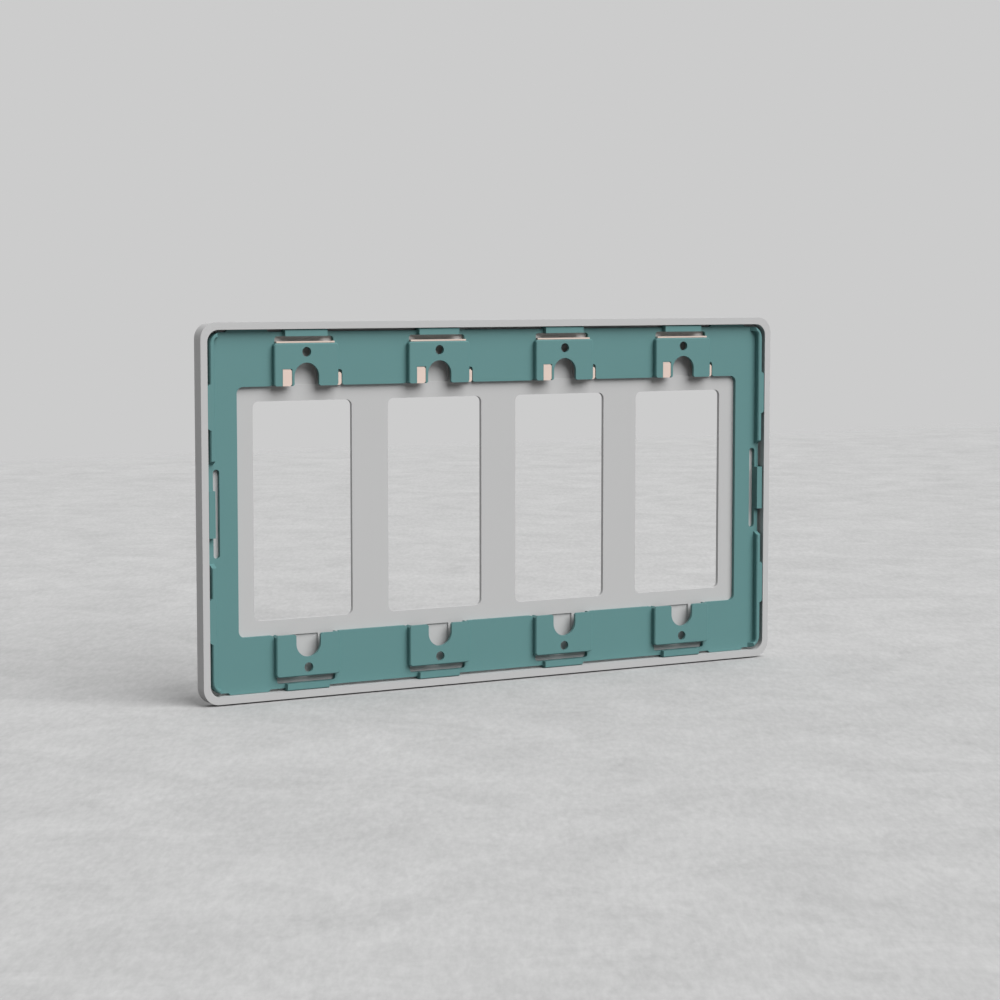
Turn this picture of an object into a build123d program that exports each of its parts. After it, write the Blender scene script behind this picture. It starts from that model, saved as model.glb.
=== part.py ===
"""Four-gang wall plate: a face plate, the carrier frame clipped into its back, and the tab clips."""

from build123d import *
import os

# All lengths are in millimetres.

# Gangs: the device openings and the two rows of screws
gang_count = 4
gang_pitch = 46.04
opening_width = 33.5
opening_height = 67.0
opening_corner_radius = 1.9
screw_spacing = 96.84

# Face plate: thin front panel inside a rim
panel_thickness = 1.45
rim_height = 3.6
rim_thickness = 2.2
plate_corner_radius = 5.0
cavity_corner_radius = 3.7
front_edge_radius = 0.3
opening_edge_chamfer = 0.25
relief_width = 9.2
relief_length = 8.2
relief_depth = 0.5
relief_inset = 0.3

# Carrier frame: flange round one large window
flange_thickness = 1.33
frame_corner_radius = 4.0
frame_side_gap = 0.93
frame_end_gap = 0.8
side_rail_width = 9.46
window_side_margin = 5.77
window_end_margin = 4.58
window_corner_radius = 2.0

# Carrier frame: ridges along the sides and round the corners
ridge_width = 1.5
ridge_height = 3.4
ridge_inner_radius = 1.4
ridge_edge_chamfer = 0.3
ridge_ramp_length = 1.2
ridge_slot_distance = 1.4
ridge_tail_length = 3.6

# Carrier frame: pads that centre it in the rim
pad_clearance = 0.12
pad_bevel = 0.6
side_pad_length = 13.9
side_pad_spacing = 64.5
end_pad_length = 14.05
end_pad_corner_distance = 5.9

# Carrier frame: raised screw tabs, open underneath
tab_width = 21.6
tab_height = 3.2
tab_thickness = 1.0
tab_side_wall = 0.9
tab_screw_margin = 2.67
tab_corner_radius = 1.0
tab_mouth_chamfer = 0.6
tab_mouth_radius = 0.8
tab_mouth_gap = 0.12
tab_edge_chamfer = 0.3
notch_width = 8.3
notch_screw_distance = 7.42
notch_mouth_chamfer = 0.45
screw_hole_diameter = 3.0

# Carrier frame: snap hooks on their flexing beams
hook_length = 14.2
hook_height = 3.1
hook_bevel = 0.25
hook_clearance = 0.15
hook_slot_width = 2.1
hook_slot_radius = 0.9
hook_beam_width = 1.41
side_slot_length = 27.0
side_slot_width = 2.1
side_beam_width = 1.45
catch_reach = 0.45
catch_foot = 0.6
catch_peak = 1.5
catch_land = 0.4
catch_clearance = 0.2

# Tab clips, one behind each upper tab
clip_thickness = 0.45
clip_clearance = 0.1
clip_lip_height = 2.5
clip_leg_length = 5.1
clip_leg_distance = 0.85
clip_pad_width = 3.0
clip_pad_height = 3.1
clip_foot_length = 3.95
clip_foot_reach = 1.85
clip_foot_height = 1.3
clip_corner_chamfer = 0.5
clip_screw_clearance = 0.5
slit_width = 2.1
slit_clearance = 0.9
slit_corner_radius = 0.9

# Places along the plate's length
gang_centres = [gang_pitch * (index - (gang_count - 1) / 2) for index in range(gang_count)]
window_width = gang_pitch * (gang_count - 1) + opening_width + 2 * window_side_margin
frame_width = window_width + 2 * side_rail_width
cavity_width = frame_width + 2 * frame_side_gap
plate_width = cavity_width + 2 * rim_thickness
side_beam_edge = frame_width / 2 - side_beam_width
side_pad_row = side_pad_spacing / 2
side_pad_reach = frame_side_gap - pad_clearance
end_pad_centre = frame_width / 2 - end_pad_corner_distance - end_pad_length / 2

# Places up the plate's height
window_height = opening_height + 2 * window_end_margin
window_edge = window_height / 2
screw_row = screw_spacing / 2
notch_row = screw_row - notch_screw_distance
tab_outer_edge = screw_row + tab_screw_margin
end_beam_edge = tab_outer_edge + hook_slot_width
frame_height = 2 * (end_beam_edge + hook_beam_width)
cavity_height = frame_height + 2 * frame_end_gap
plate_height = cavity_height + 2 * rim_thickness
end_pad_reach = frame_end_gap - pad_clearance
ridge_start = side_slot_length / 2 + ridge_slot_distance
ridge_tail = frame_width / 2 - ridge_tail_length

# Places through the plate's depth, and the tabs' and clips' own widths
plate_depth = panel_thickness + rim_height
tab_underside = tab_height - tab_thickness
pocket_reach = tab_width / 2 - tab_side_wall
catch_top = catch_peak + catch_land
clip_reach = pocket_reach - clip_clearance
clip_leg_edge = notch_width / 2 + clip_leg_distance
clip_leg_top = window_edge + clip_leg_length
clip_foot_top = window_edge + clip_foot_length
slit_reach = tab_width / 2 + slit_width


def rectangle_between(left, right, bottom, top):
    """A plan rectangle given by its four edges."""
    return Pos((left + right) / 2, (bottom + top) / 2) * Rectangle(right - left, top - bottom)


def block_between(left, right, bottom, top, low, high):
    """A block given by its edges in plan and its two levels."""
    return Pos(0, 0, low) * extrude(rectangle_between(left, right, bottom, top), amount=high - low)


def corner_waste(radius):
    """Plan of what a rounded corner at the origin loses, with its material above and to the right."""
    return Rectangle(radius, radius, align=Align.MIN) - Pos(radius, radius) * Circle(radius)


def with_mirror_image(part, plane):
    """A part together with its mirror image."""
    return part + mirror(part, about=plane)


def catch_recess(cavity_reach, plane):
    """Room in the rim for one snap hook's catch, clear of it all round, under the rim's lip."""
    profile = rectangle_between(
        cavity_reach - catch_clearance,
        cavity_reach + catch_reach + catch_clearance,
        catch_foot - catch_clearance,
        catch_top + catch_clearance,
    )
    return extrude(plane * profile, amount=hook_length / 2 + catch_clearance, both=True)


def snap_hook(beam_edge, cavity_reach, plane):
    """Hook that stands on a flexing beam, with a ramped catch that enters the rim's recess."""
    face = cavity_reach - hook_clearance
    peak = cavity_reach + catch_reach
    profile = Polygon(
        (beam_edge, 0),
        (face, 0),
        (face, catch_foot),
        (peak, catch_peak),
        (peak, catch_top),
        (face, catch_top),
        (face, hook_height - hook_bevel),
        (face - hook_bevel, hook_height),
        (beam_edge, hook_height),
        align=None,
    )
    return extrude(plane * profile, amount=hook_length / 2, both=True)


def make_face_plate():
    """Front panel with the device openings and screw-head reliefs, inside a rim with catch recesses."""
    plate = extrude(RectangleRounded(plate_width, plate_height, plate_corner_radius), amount=plate_depth)
    plate = fillet(plate.faces().sort_by(Axis.Z)[0].edges(), front_edge_radius)
    cavity = extrude(RectangleRounded(cavity_width, cavity_height, cavity_corner_radius), amount=rim_height)
    plate -= Pos(0, 0, panel_thickness) * cavity

    opening_plan = RectangleRounded(opening_width, opening_height, opening_corner_radius)
    opening = extrude(opening_plan, amount=panel_thickness)
    for centre in gang_centres:
        plate -= Pos(centre, 0, 0) * opening
    front = plate.faces().sort_by(Axis.Z)[0]
    plate = chamfer(front.inner_wires().edges(), opening_edge_chamfer)

    relief = extrude(Rectangle(relief_width, relief_length), amount=relief_depth)
    relief_row = window_edge + relief_inset + relief_length / 2
    reliefs = Pos(0, relief_row, panel_thickness - relief_depth) * relief
    end_recesses = Pos(0, 0, panel_thickness) * catch_recess(cavity_height / 2, Plane.YZ)
    for centre in gang_centres:
        plate -= Pos(centre, 0, 0) * with_mirror_image(reliefs, Plane.XZ)
        plate -= Pos(centre, 0, 0) * with_mirror_image(end_recesses, Plane.XZ)
    side_recesses = Pos(0, 0, panel_thickness) * catch_recess(cavity_width / 2, Plane.XZ)
    plate -= with_mirror_image(side_recesses, Plane.YZ)
    return plate.solid()


def make_flange():
    """Flat frame round the window, open under each tab and out to its slot, with a long slot each side."""
    plan = RectangleRounded(frame_width, frame_height, frame_corner_radius)
    plan -= RectangleRounded(window_width, window_height, window_corner_radius)
    bay = rectangle_between(-pocket_reach, pocket_reach, window_edge - tab_mouth_radius, end_beam_edge)
    bay = fillet(bay.vertices().group_by(Axis.Y)[-1], hook_slot_radius)
    for centre in gang_centres:
        plan -= Pos(centre, 0) * with_mirror_image(bay, Plane.XZ)
    side_slot = Rot(0, 0, 90) * SlotOverall(side_slot_length, side_slot_width)
    for side in (-1, 1):
        plan -= Pos(side * (side_beam_edge - side_slot_width / 2), 0) * side_slot
    return extrude(plan, amount=flange_thickness)


def make_ridges():
    """Low walls on the frame's edge, round all four corners, that ramp down to the flange at both ends."""
    plan = RectangleRounded(frame_width, frame_height, frame_corner_radius)
    plan -= RectangleRounded(frame_width - 2 * ridge_width, frame_height - 2 * ridge_width, ridge_inner_radius)
    wall = extrude(plan, amount=ridge_height)
    wall = chamfer(wall.faces().sort_by(Axis.Z)[-1].edges(), ridge_edge_chamfer)

    def beyond(start, end):
        return Polygon(
            (start, 0),
            (end, 0),
            (end, ridge_height),
            (start + ridge_ramp_length, ridge_height),
            (start, flange_thickness),
            align=None,
        )

    past_latch = extrude(Plane.YZ * beyond(ridge_start, frame_height), amount=frame_width)
    past_tail = extrude(Plane.XZ * beyond(ridge_tail, frame_width), amount=-frame_height)
    corner = wall & past_latch & past_tail
    return with_mirror_image(with_mirror_image(corner, Plane.YZ), Plane.XZ)


def make_pads():
    """Bevelled pads on the frame's edge: two on each side, and one near each end of the top and bottom."""

    def pad(length, reach, height):
        plan = Polygon(
            (-length / 2, -reach),
            (length / 2, -reach),
            (length / 2, 0),
            (length / 2 - pad_bevel, reach),
            (pad_bevel - length / 2, reach),
            (-length / 2, 0),
            align=None,
        )
        return extrude(plan, amount=height)

    side_pad = Rot(0, 0, -90) * pad(side_pad_length, side_pad_reach, ridge_height)
    end_pad = pad(end_pad_length, end_pad_reach, flange_thickness)
    quarter = Pos(frame_width / 2, side_pad_row, 0) * side_pad
    quarter += Pos(end_pad_centre, frame_height / 2, 0) * end_pad
    return with_mirror_image(with_mirror_image(quarter, Plane.YZ), Plane.XZ)


def make_tab():
    """Raised tab with an open pocket under it, a screw hole, and a notch for the device's own screw."""
    tab_plan = rectangle_between(-tab_width / 2, tab_width / 2, window_edge, tab_outer_edge)
    tab_plan = fillet(tab_plan.vertices().group_by(Axis.Y)[-1], tab_corner_radius)
    tab = extrude(tab_plan, amount=tab_height)
    rear_edges = tab.faces().sort_by(Axis.Z)[-1].edges().sort_by(Axis.Y)[1:]
    tab = chamfer(rear_edges, tab_edge_chamfer)
    tab -= block_between(-pocket_reach, pocket_reach, window_edge, tab_outer_edge, 0, tab_underside)

    mouth_plan = Polygon(
        (-notch_width / 2 - notch_mouth_chamfer, 0),
        (notch_width / 2 + notch_mouth_chamfer, 0),
        (notch_width / 2, notch_mouth_chamfer),
        (-notch_width / 2, notch_mouth_chamfer),
        align=None,
    )
    notch = rectangle_between(-notch_width / 2, notch_width / 2, window_edge, notch_row)
    notch += Pos(0, notch_row) * Circle(notch_width / 2)
    notch += Pos(0, window_edge) * mouth_plan
    tab -= extrude(notch, amount=tab_height)

    return tab - Pos(0, screw_row, 0) * extrude(Circle(screw_hole_diameter / 2), amount=tab_height)


def tab_mouth():
    """What is cut away where a tab's right side and the flange meet at the window's edge."""
    waste = Polygon(
        (-tab_mouth_chamfer, 0),
        (tab_mouth_gap, 0),
        (tab_mouth_gap, tab_mouth_radius),
        (0, tab_mouth_radius),
        (0, tab_mouth_chamfer),
        align=None,
    )
    waste += Pos(tab_mouth_gap, 0) * corner_waste(tab_mouth_radius)
    return Pos(tab_width / 2, window_edge, 0) * extrude(waste, amount=tab_height)


def clip_window():
    """Opening in an upper tab's left leg for the clip's pad."""
    left = -clip_leg_edge - clip_pad_width - clip_clearance
    right = clip_clearance - clip_leg_edge
    return block_between(left, right, window_edge, clip_leg_top + clip_clearance, tab_underside, tab_height)


def clip_slit():
    """Slit beside an upper tab, through its side wall and the flange, for the clip's foot."""
    slit = rectangle_between(pocket_reach, slit_reach, window_edge, clip_foot_top + slit_clearance)
    slit = fillet(slit.vertices().group_by(Axis.Y)[-1].sort_by(Axis.X)[-1], slit_corner_radius)
    slit += Pos(slit_reach, window_edge) * corner_waste(tab_mouth_radius)
    return extrude(slit, amount=tab_underside)


def make_carrier_frame():
    """Frame that is screwed to the devices, with the hooks that hold the face plate."""
    tab = make_tab()
    end_hook = snap_hook(end_beam_edge, cavity_height / 2, Plane.YZ)
    side_hook = snap_hook(side_beam_edge, cavity_width / 2, Plane.XZ)
    mouths = with_mirror_image(tab_mouth(), Plane.YZ)

    frame = make_flange() + make_ridges() + make_pads() + with_mirror_image(side_hook, Plane.YZ)
    for centre in gang_centres:
        frame += Pos(centre, 0, 0) * with_mirror_image(tab + end_hook, Plane.XZ)
    for centre in gang_centres:
        frame -= Pos(centre, 0, 0) * with_mirror_image(mouths, Plane.XZ)
        frame -= Pos(centre, 0, 0) * clip_window()
        frame -= Pos(centre, 0, 0) * clip_slit()
    return frame.solid()


def make_tab_clip():
    """Formed strip under an upper tab: a web, a lip in the slot, a pad in the window, a foot in the slit."""
    web_bottom = tab_underside - clip_thickness
    lip_inner_edge = tab_outer_edge + clip_clearance
    lip_outer_edge = lip_inner_edge + clip_thickness
    web = block_between(-clip_reach, clip_reach, window_edge, lip_outer_edge, web_bottom, tab_underside)
    relief = rectangle_between(-clip_leg_edge, clip_leg_edge, window_edge, notch_row + clip_leg_edge)
    relief = chamfer(relief.vertices().group_by(Axis.Y)[-1], clip_leg_edge / 2)
    relief += Pos(0, screw_row) * Circle(screw_hole_diameter / 2 + clip_screw_clearance)
    web -= extrude(relief, amount=tab_height)
    lip = block_between(-clip_reach, clip_reach, lip_inner_edge, lip_outer_edge, 0, clip_lip_height)

    def leg(right, left, top, low, high):
        plan = rectangle_between(left, right, window_edge, top)
        plan = chamfer(plan.vertices().group_by(Axis.X)[-1], clip_corner_chamfer)
        return Pos(0, 0, low) * extrude(plan, amount=high - low)

    pad = leg(-clip_leg_edge, -clip_leg_edge - clip_pad_width, clip_leg_top, web_bottom, clip_pad_height)
    foot_inner_edge = clip_reach - clip_thickness
    foot_bottom = clip_foot_height - clip_thickness
    foot = leg(tab_width / 2 + clip_foot_reach, foot_inner_edge, clip_foot_top, foot_bottom, clip_foot_height)
    bend = block_between(foot_inner_edge, clip_reach, window_edge, clip_foot_top, foot_bottom, tab_underside)
    clip = web + lip + pad + foot + bend
    return clip.solid()


def main():
    """Stand the plate on its long edge with its wall side facing -Y, and write one file for each piece."""
    standing = Pos(0, plate_depth / 2, plate_height / 2) * Rot(90, 0, 0)
    pieces = {"face_plate": make_face_plate()}
    pieces["carrier_frame"] = Pos(0, 0, panel_thickness) * make_carrier_frame()
    for number, centre in enumerate(gang_centres, start=1):
        pieces[f"tab_clip_{number}"] = Pos(centre, 0, panel_thickness) * make_tab_clip()

    os.makedirs("parts", exist_ok=True)
    for name, piece in pieces.items():
        export_step(standing * piece, f"parts/{name}.step")


main()
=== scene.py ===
import logging
import math
from dataclasses import dataclass, field
from enum import Enum

import bpy
from mathutils import Matrix, Vector


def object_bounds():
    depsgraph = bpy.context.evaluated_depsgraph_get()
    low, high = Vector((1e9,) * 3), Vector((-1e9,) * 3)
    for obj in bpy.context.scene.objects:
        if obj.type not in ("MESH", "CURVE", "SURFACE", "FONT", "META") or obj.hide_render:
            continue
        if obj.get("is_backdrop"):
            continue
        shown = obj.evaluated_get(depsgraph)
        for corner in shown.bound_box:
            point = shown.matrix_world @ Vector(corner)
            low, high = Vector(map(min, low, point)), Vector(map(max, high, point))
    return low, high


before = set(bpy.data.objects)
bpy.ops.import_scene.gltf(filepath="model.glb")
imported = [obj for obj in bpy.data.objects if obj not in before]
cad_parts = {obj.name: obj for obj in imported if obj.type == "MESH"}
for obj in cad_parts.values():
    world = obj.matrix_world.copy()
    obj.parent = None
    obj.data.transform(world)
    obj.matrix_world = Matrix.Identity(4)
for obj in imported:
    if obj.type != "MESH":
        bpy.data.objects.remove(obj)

log = logging.getLogger("outlet_plate")

Colour = tuple[float, float, float]

WHITE = (1.0, 1.0, 1.0, 1.0)


class Base(Enum):
    """What a finish is laid on."""

    MOULDED = "moulded plastic"
    COATED = "coated sheet"
    PRESSED = "pressed strip"


class Sight(Enum):
    """The rays that see the floor and the background as they are, and don't only carry light."""

    CAMERA = "Is Camera Ray"
    GLOSSY = "Is Glossy Ray"
    TRANSMISSION = "Is Transmission Ray"


def shaded(colour: Colour, factor: float) -> tuple[float, float, float, float]:
    """A colour made darker or lighter by one factor, with full alpha.

    Args:
        colour: Linear red, green and blue.
        factor: What each channel is multiplied by.

    Returns:
        Four channels for a node socket.
    """
    return (colour[0] * factor, colour[1] * factor, colour[2] * factor, 1.0)


@dataclass
class SharedEffects:
    """Node groups that more than one finish uses."""

    mottle_detail: float = 5.0
    mottle_roughness: float = 0.62
    mottle_distortion: float = 0.35
    grain_detail: float = 3.0
    grain_roughness: float = 0.55
    pit_smoothness: float = 0.6
    made: dict[str, bpy.types.NodeTree] = field(default_factory=dict)

    def _tree(self, name: str, inputs: list[str], outputs: list[str]) -> bpy.types.NodeTree:
        """Start a group with a Vector input, value inputs and value outputs.

        Args:
            name: The group's name.
            inputs: Names of the value inputs.
            outputs: Names of the value outputs.

        Returns:
            The new node tree, with its input and output nodes.
        """
        tree = bpy.data.node_groups.new(name, "ShaderNodeTree")
        tree.interface.new_socket(name="Vector", in_out="INPUT", socket_type="NodeSocketVector")
        for label in inputs:
            tree.interface.new_socket(name=label, in_out="INPUT", socket_type="NodeSocketFloat")
        for label in outputs:
            tree.interface.new_socket(name=label, in_out="OUTPUT", socket_type="NodeSocketFloat")
        tree.nodes.new("NodeGroupInput")
        tree.nodes.new("NodeGroupOutput")
        self.made[name] = tree
        return tree

    def mottle(self) -> bpy.types.NodeTree:
        """Slow cloudy change over a surface, from 0 to 1, as Shade.

        Returns:
            The group, built at the first call.
        """
        name = "slow_mottle"
        if name in self.made:
            return self.made[name]
        tree = self._tree(name, ["Scale"], ["Shade"])
        nodes, links = tree.nodes, tree.links
        group_in, group_out = nodes["Group Input"], nodes["Group Output"]
        broad = nodes.new("ShaderNodeTexNoise")
        broad.inputs["Detail"].default_value = self.mottle_detail
        broad.inputs["Roughness"].default_value = self.mottle_roughness
        broad.inputs["Distortion"].default_value = self.mottle_distortion
        links.new(group_in.outputs["Vector"], broad.inputs["Vector"])
        links.new(group_in.outputs["Scale"], broad.inputs["Scale"])
        links.new(broad.outputs["Fac"], group_out.inputs["Shade"])
        return tree

    def grain(self) -> bpy.types.NodeTree:
        """Fine uneven texture of a tool or a coating, as Height, with its pits as Pits.

        Returns:
            The group, built at the first call.
        """
        name = "fine_grain"
        if name in self.made:
            return self.made[name]
        tree = self._tree(name, ["Scale", "Pitting"], ["Height", "Pits"])
        nodes, links = tree.nodes, tree.links
        group_in, group_out = nodes["Group Input"], nodes["Group Output"]
        noise = nodes.new("ShaderNodeTexNoise")
        noise.inputs["Detail"].default_value = self.grain_detail
        noise.inputs["Roughness"].default_value = self.grain_roughness
        cells = nodes.new("ShaderNodeTexVoronoi")
        cells.feature = "SMOOTH_F1"
        cells.inputs["Smoothness"].default_value = self.pit_smoothness
        blend = nodes.new("ShaderNodeMix")
        blend.data_type = "FLOAT"
        links.new(group_in.outputs["Vector"], noise.inputs["Vector"])
        links.new(group_in.outputs["Scale"], noise.inputs["Scale"])
        links.new(group_in.outputs["Vector"], cells.inputs["Vector"])
        links.new(group_in.outputs["Scale"], cells.inputs["Scale"])
        links.new(group_in.outputs["Pitting"], blend.inputs["Factor"])
        links.new(noise.outputs["Fac"], blend.inputs["A"])
        links.new(cells.outputs["Distance"], blend.inputs["B"])
        links.new(blend.outputs["Result"], group_out.inputs["Height"])
        links.new(cells.outputs["Distance"], group_out.inputs["Pits"])
        return tree


@dataclass(frozen=True)
class Finish:
    """One finish of the plate: its colour and how colour, gloss and relief change over it."""

    name: str
    base: Base
    colour: Colour
    spread: float
    mottle_scale: float
    roughness: float
    roughness_spread: float
    grain_scale: float
    grain_pitting: float
    grain_strength: float
    grain_depth: float
    metallic: float = 0.0

    def material(self, effects: SharedEffects) -> bpy.types.Material:
        """Build the node material.

        Args:
            effects: The shared node groups.

        Returns:
            A material that reads Object coordinates.
        """
        material = bpy.data.materials.new(self.name)
        material.use_nodes = True
        material.diffuse_color = (*self.colour, 1.0)
        nodes, links = material.node_tree.nodes, material.node_tree.links
        shader = nodes["Principled BSDF"]
        shader.inputs["Metallic"].default_value = self.metallic
        place = nodes.new("ShaderNodeTexCoord")
        mottle = nodes.new("ShaderNodeGroup")
        mottle.node_tree = effects.mottle()
        mottle.inputs["Scale"].default_value = self.mottle_scale
        grain = nodes.new("ShaderNodeGroup")
        grain.node_tree = effects.grain()
        grain.inputs["Scale"].default_value = self.grain_scale
        grain.inputs["Pitting"].default_value = self.grain_pitting
        tint = nodes.new("ShaderNodeMix")
        tint.data_type = "RGBA"
        tint.inputs["A"].default_value = shaded(self.colour, 1.0 - self.spread)
        tint.inputs["B"].default_value = shaded(self.colour, 1.0 + self.spread)
        gloss = nodes.new("ShaderNodeMapRange")
        gloss.inputs["To Min"].default_value = self.roughness - self.roughness_spread
        gloss.inputs["To Max"].default_value = self.roughness + self.roughness_spread
        bump = nodes.new("ShaderNodeBump")
        bump.inputs["Strength"].default_value = self.grain_strength
        bump.inputs["Distance"].default_value = self.grain_depth
        for group in (mottle, grain):
            links.new(place.outputs["Object"], group.inputs["Vector"])
        links.new(mottle.outputs["Shade"], tint.inputs["Factor"])
        links.new(tint.outputs["Result"], shader.inputs["Base Color"])
        links.new(grain.outputs["Pits"], gloss.inputs["Value"])
        links.new(gloss.outputs["Result"], shader.inputs["Roughness"])
        links.new(grain.outputs["Height"], bump.inputs["Height"])
        links.new(bump.outputs["Normal"], shader.inputs["Normal"])
        return material


COATED_GREY = Finish(
    name="matte_grey_coating",
    base=Base.COATED,
    colour=(0.47, 0.47, 0.47),
    spread=0.018,
    mottle_scale=22.0,
    roughness=0.55,
    roughness_spread=0.07,
    grain_scale=4200.0,
    grain_pitting=0.35,
    grain_strength=0.55,
    grain_depth=0.00004,
)
MOULDED_TEAL = Finish(
    name="moulded_teal",
    base=Base.MOULDED,
    colour=(0.0925, 0.2185, 0.218),
    spread=0.03,
    mottle_scale=34.0,
    roughness=0.55,
    roughness_spread=0.08,
    grain_scale=5200.0,
    grain_pitting=0.45,
    grain_strength=0.6,
    grain_depth=0.00004,
)
PRESSED_PINK = Finish(
    name="pale_pink_strip",
    base=Base.PRESSED,
    colour=(0.70, 0.56, 0.49),
    spread=0.02,
    mottle_scale=60.0,
    roughness=0.45,
    roughness_spread=0.07,
    grain_scale=6000.0,
    grain_pitting=0.2,
    grain_strength=0.4,
    grain_depth=0.00002,
    metallic=0.3,
)


@dataclass
class WallPlate:
    """The plate itself: its face plate, carrier frame and tab clips."""

    effects: SharedEffects
    clip_count: int = 4

    def dress(self) -> None:
        """Give each carried-over node its finish."""
        self._finish("face_plate", COATED_GREY)
        self._finish("carrier_frame", MOULDED_TEAL)
        for number in range(1, self.clip_count + 1):
            self._finish(f"tab_clip_{number}", PRESSED_PINK)

    def _finish(self, node: str, finish: Finish) -> None:
        """Put one finish on one node.

        Args:
            node: The CAD node's name.
            finish: What it is covered with.
        """
        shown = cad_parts[node]
        material = bpy.data.materials.get(finish.name) or finish.material(self.effects)
        for place in shown.material_slots:
            place.material = material
        log.info("%s: %s, %s", node, finish.name, finish.base.value)


@dataclass
class Studio:
    """Floor, background, light and camera."""

    floor_half_width: float = 3.0
    floor_front: float = -3.0
    floor_back: float = 1.06
    floor_fade: float = 0.12
    floor_drop: float = 0.0005
    floor_colour: Colour = (0.418, 0.418, 0.418)
    floor_bounce: float = 0.4
    floor_roughness: float = 0.85
    floor_specular: float = 0.2
    floor_patch_scale: float = 30.0
    floor_patch_detail: float = 12.0
    floor_patch_roughness: float = 0.72
    floor_patch_distortion: float = 0.6
    floor_speck_scale: float = 700.0
    floor_speck_detail: float = 6.0
    floor_speck_roughness: float = 0.6
    floor_speck_stretch: float = 4.0
    floor_speck_share: float = 0.42
    floor_spread: float = 0.42
    floor_bump_strength: float = 0.15
    floor_bump_depth: float = 0.002
    background: float = 0.604
    fill_front: float = 0.02
    fill_back: float = 0.84
    fill_blend: float = 0.3
    key_azimuth_deg: float = 21.0
    key_elevation_deg: float = 45.0
    key_spread_deg: float = 55.0
    key_strength: float = 4.15
    lens_mm: float = 90.0
    camera_azimuth_deg: float = -30.0
    camera_elevation_deg: float = 5.0
    camera_distance: float = 0.8007
    camera_near: float = 0.01
    camera_far: float = 50.0

    def build(self) -> None:
        """Add everything that stands round the plate."""
        self._floor()
        self._background()
        self._key_light()
        self._camera()
        bpy.context.scene.view_settings.view_transform = "Standard"

    def _floor(self) -> None:
        """Add the pale, softly mottled floor, which ends in a short fade behind the plate."""
        bpy.ops.object.select_all(action="DESELECT")
        bpy.ops.mesh.primitive_plane_add(size=1.0)
        floor = bpy.context.active_object
        floor.name = "floor"
        depth = self.floor_back - self.floor_front
        middle = (self.floor_back + self.floor_front) / 2
        stretch = Matrix.Diagonal((2 * self.floor_half_width, depth, 1.0, 1.0))
        floor.data.transform(Matrix.Translation((0.0, middle, -self.floor_drop)) @ stretch)
        floor.data.materials.append(self._floor_material())
        floor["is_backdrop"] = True
        log.info("floor: %.2f m deep", depth)

    def _floor_material(self) -> bpy.types.Material:
        """Build the floor's material.

        Returns:
            A matte mottled material, transparent past the fade.
        """
        material = bpy.data.materials.new("pale_plaster_floor")
        material.use_nodes = True
        nodes, links = material.node_tree.nodes, material.node_tree.links
        shader, out = nodes["Principled BSDF"], nodes["Material Output"]
        shader.inputs["Roughness"].default_value = self.floor_roughness
        shader.inputs["Specular IOR Level"].default_value = self.floor_specular
        place = nodes.new("ShaderNodeTexCoord")
        patches = nodes.new("ShaderNodeTexNoise")
        patches.inputs["Scale"].default_value = self.floor_patch_scale
        patches.inputs["Detail"].default_value = self.floor_patch_detail
        patches.inputs["Roughness"].default_value = self.floor_patch_roughness
        patches.inputs["Distortion"].default_value = self.floor_patch_distortion
        tint = nodes.new("ShaderNodeMix")
        tint.data_type = "RGBA"
        tint.inputs["A"].default_value = shaded(self.floor_colour, 1.0 - self.floor_spread)
        tint.inputs["B"].default_value = shaded(self.floor_colour, 1.0 + self.floor_spread)
        bump = nodes.new("ShaderNodeBump")
        bump.inputs["Strength"].default_value = self.floor_bump_strength
        bump.inputs["Distance"].default_value = self.floor_bump_depth
        split = nodes.new("ShaderNodeSeparateXYZ")
        fade = nodes.new("ShaderNodeMapRange")
        fade.inputs["From Min"].default_value = self.floor_back - self.floor_fade
        fade.inputs["From Max"].default_value = self.floor_back
        clear = nodes.new("ShaderNodeBsdfTransparent")
        ending = nodes.new("ShaderNodeMixShader")
        turn = math.radians(self.camera_azimuth_deg)
        stretched = nodes.new("ShaderNodeMapping")
        stretched.vector_type = "TEXTURE"
        stretched.inputs["Rotation"].default_value = (0.0, 0.0, turn)
        stretched.inputs["Scale"].default_value = (1.0, self.floor_speck_stretch, 1.0)
        specks = nodes.new("ShaderNodeTexNoise")
        specks.inputs["Scale"].default_value = self.floor_speck_scale
        specks.inputs["Detail"].default_value = self.floor_speck_detail
        specks.inputs["Roughness"].default_value = self.floor_speck_roughness
        cloud = nodes.new("ShaderNodeMix")
        cloud.data_type = "FLOAT"
        cloud.inputs["Factor"].default_value = self.floor_speck_share
        links.new(place.outputs["Object"], patches.inputs["Vector"])
        links.new(place.outputs["Object"], stretched.inputs["Vector"])
        links.new(stretched.outputs["Vector"], specks.inputs["Vector"])
        links.new(patches.outputs["Fac"], cloud.inputs["A"])
        links.new(specks.outputs["Fac"], cloud.inputs["B"])
        links.new(cloud.outputs["Result"], tint.inputs["Factor"])
        seen = nodes.new("ShaderNodeMix")
        seen.data_type = "RGBA"
        seen.inputs["A"].default_value = shaded(self.floor_colour, self.floor_bounce)
        links.new(self._in_sight(material.node_tree), seen.inputs["Factor"])
        links.new(tint.outputs["Result"], seen.inputs["B"])
        links.new(seen.outputs["Result"], shader.inputs["Base Color"])
        links.new(patches.outputs["Fac"], bump.inputs["Height"])
        links.new(bump.outputs["Normal"], shader.inputs["Normal"])
        links.new(place.outputs["Object"], split.inputs["Vector"])
        links.new(split.outputs["Y"], fade.inputs["Value"])
        links.new(fade.outputs["Result"], ending.inputs["Fac"])
        links.new(shader.outputs["BSDF"], ending.inputs[1])
        links.new(clear.outputs["BSDF"], ending.inputs[2])
        links.new(ending.outputs["Shader"], out.inputs["Surface"])
        return material

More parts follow.
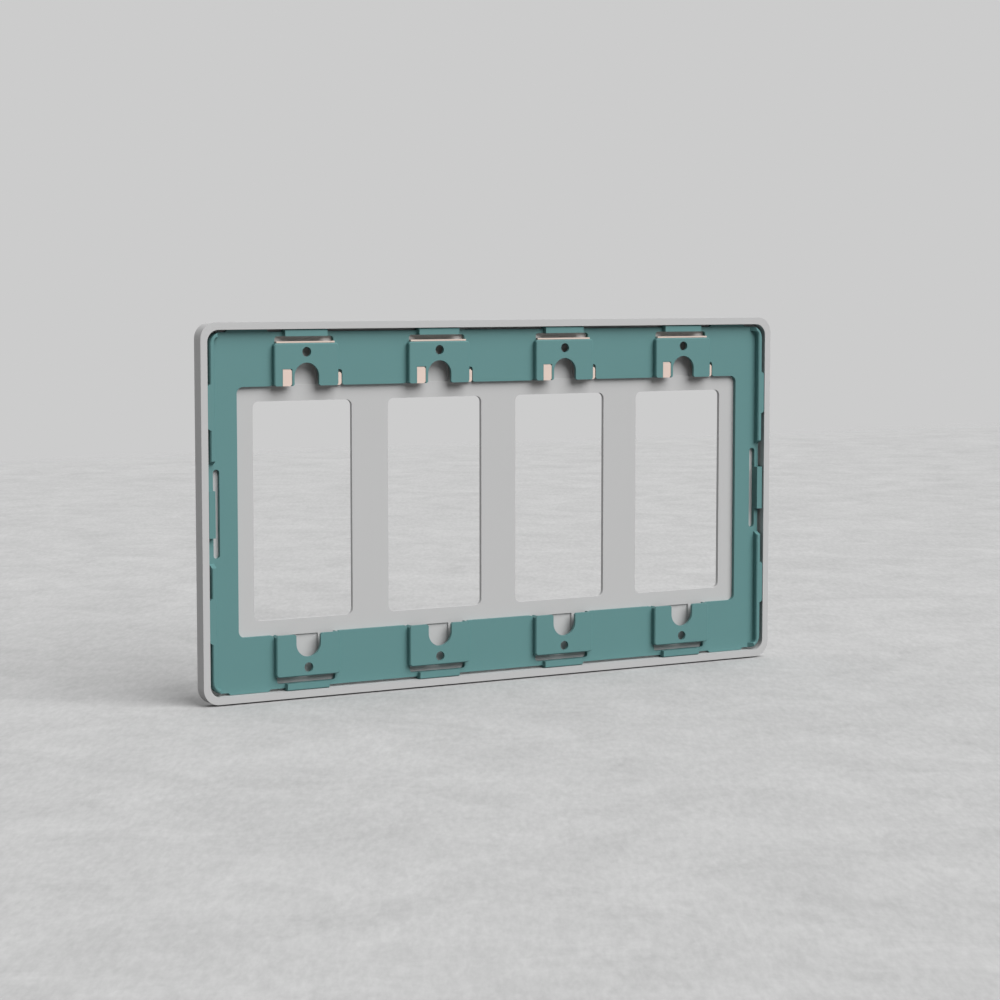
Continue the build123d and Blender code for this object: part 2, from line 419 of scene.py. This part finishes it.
    def _in_sight(self, tree: bpy.types.NodeTree) -> bpy.types.NodeSocket:
        """Tell the rays that see a surface from those that only carry light.

        Args:
            tree: The node tree to add to.

        Returns:
            A socket that is 1 for camera, glossy and transmission rays, and 0 for the others.
        """
        nodes, links = tree.nodes, tree.links
        rays = nodes.new("ShaderNodeLightPath")
        either: bpy.types.NodeSocket = rays.outputs[Sight.CAMERA.value]
        for sight in (Sight.GLOSSY, Sight.TRANSMISSION):
            larger = nodes.new("ShaderNodeMath")
            larger.operation = "MAXIMUM"
            links.new(either, larger.inputs[0])
            links.new(rays.outputs[sight.value], larger.inputs[1])
            either = larger.outputs[0]
        return either

    def _background(self) -> None:
        """Show a pale grey background, whose light comes mostly from behind the plate."""
        world = bpy.data.worlds.new("studio")
        bpy.context.scene.world = world
        world.use_nodes = True
        nodes, links = world.node_tree.nodes, world.node_tree.links
        light = nodes["Background"]
        light.inputs["Color"].default_value = WHITE
        place = nodes.new("ShaderNodeTexCoord")
        split = nodes.new("ShaderNodeSeparateXYZ")
        fill = nodes.new("ShaderNodeMapRange")
        fill.inputs["From Min"].default_value = -self.fill_blend
        fill.inputs["From Max"].default_value = self.fill_blend
        fill.inputs["To Min"].default_value = self.fill_front
        fill.inputs["To Max"].default_value = self.fill_back
        links.new(place.outputs["Generated"], split.inputs["Vector"])
        links.new(split.outputs["Y"], fill.inputs["Value"])
        links.new(fill.outputs["Result"], light.inputs["Strength"])
        seen = nodes.new("ShaderNodeBackground")
        seen.inputs["Color"].default_value = WHITE
        seen.inputs["Strength"].default_value = self.background
        mix = nodes.new("ShaderNodeMixShader")
        links.new(self._in_sight(world.node_tree), mix.inputs["Fac"])
        links.new(light.outputs["Background"], mix.inputs[1])
        links.new(seen.outputs["Background"], mix.inputs[2])
        links.new(mix.outputs["Shader"], nodes["World Output"].inputs["Surface"])
        log.info(
            "background: %.3f seen, %.2f to %.2f as fill",
            self.background, self.fill_front, self.fill_back,
        )

    def _key_light(self) -> None:
        """Light the plate softly from above, in front and to the right."""
        away = _direction(self.key_azimuth_deg, self.key_elevation_deg)
        lamp = bpy.data.lights.new("key", "SUN")
        lamp.angle = math.radians(self.key_spread_deg)
        lamp.energy = self.key_strength
        holder = bpy.data.objects.new("key", lamp)
        holder.rotation_mode = "QUATERNION"
        holder.rotation_quaternion = (-away).to_track_quat("-Z", "Y")
        bpy.context.scene.collection.objects.link(holder)
        log.info("key light: %.2f, %.0f degrees wide", self.key_strength, self.key_spread_deg)

    def _camera(self) -> None:
        """Look at the plate's middle from the photograph's angle."""
        centre = _middle()
        azimuth, elevation = self.camera_azimuth_deg, self.camera_elevation_deg
        away = _direction(azimuth, elevation)
        lens = bpy.data.cameras.new("camera")
        lens.lens = self.lens_mm
        lens.clip_start = self.camera_near
        lens.clip_end = self.camera_far
        holder = bpy.data.objects.new("camera", lens)
        holder.location = centre + away * self.camera_distance
        holder.rotation_mode = "QUATERNION"
        holder.rotation_quaternion = (-away).to_track_quat("-Z", "Y")
        bpy.context.scene.collection.objects.link(holder)
        bpy.context.scene.camera = holder
        log.info("camera: azimuth %.0f, elevation %.0f", azimuth, elevation)


def _middle() -> Vector:
    """The middle of the plate's box.

    Returns:
        The point half way between the box's two corners.
    """
    low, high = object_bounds()
    return (low + high) / 2


def _direction(azimuth_deg: float, elevation_deg: float) -> Vector:
    """Unit vector from the plate's middle at an azimuth and elevation.

    Args:
        azimuth_deg: 0 is in front of the wall side, and 90 is to its right.
        elevation_deg: Angle above the floor.

    Returns:
        The direction away from the plate.
    """
    azimuth, elevation = math.radians(azimuth_deg), math.radians(elevation_deg)
    level = math.cos(elevation)
    return Vector((math.sin(azimuth) * level, -math.cos(azimuth) * level, math.sin(elevation)))


def main() -> None:
    """Dress the plate and stand it in the studio."""
    logging.basicConfig(level=logging.INFO, format="%(name)s %(message)s")
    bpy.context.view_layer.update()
    WallPlate(SharedEffects()).dress()
    Studio().build()


if __name__ == "__main__":
    main()
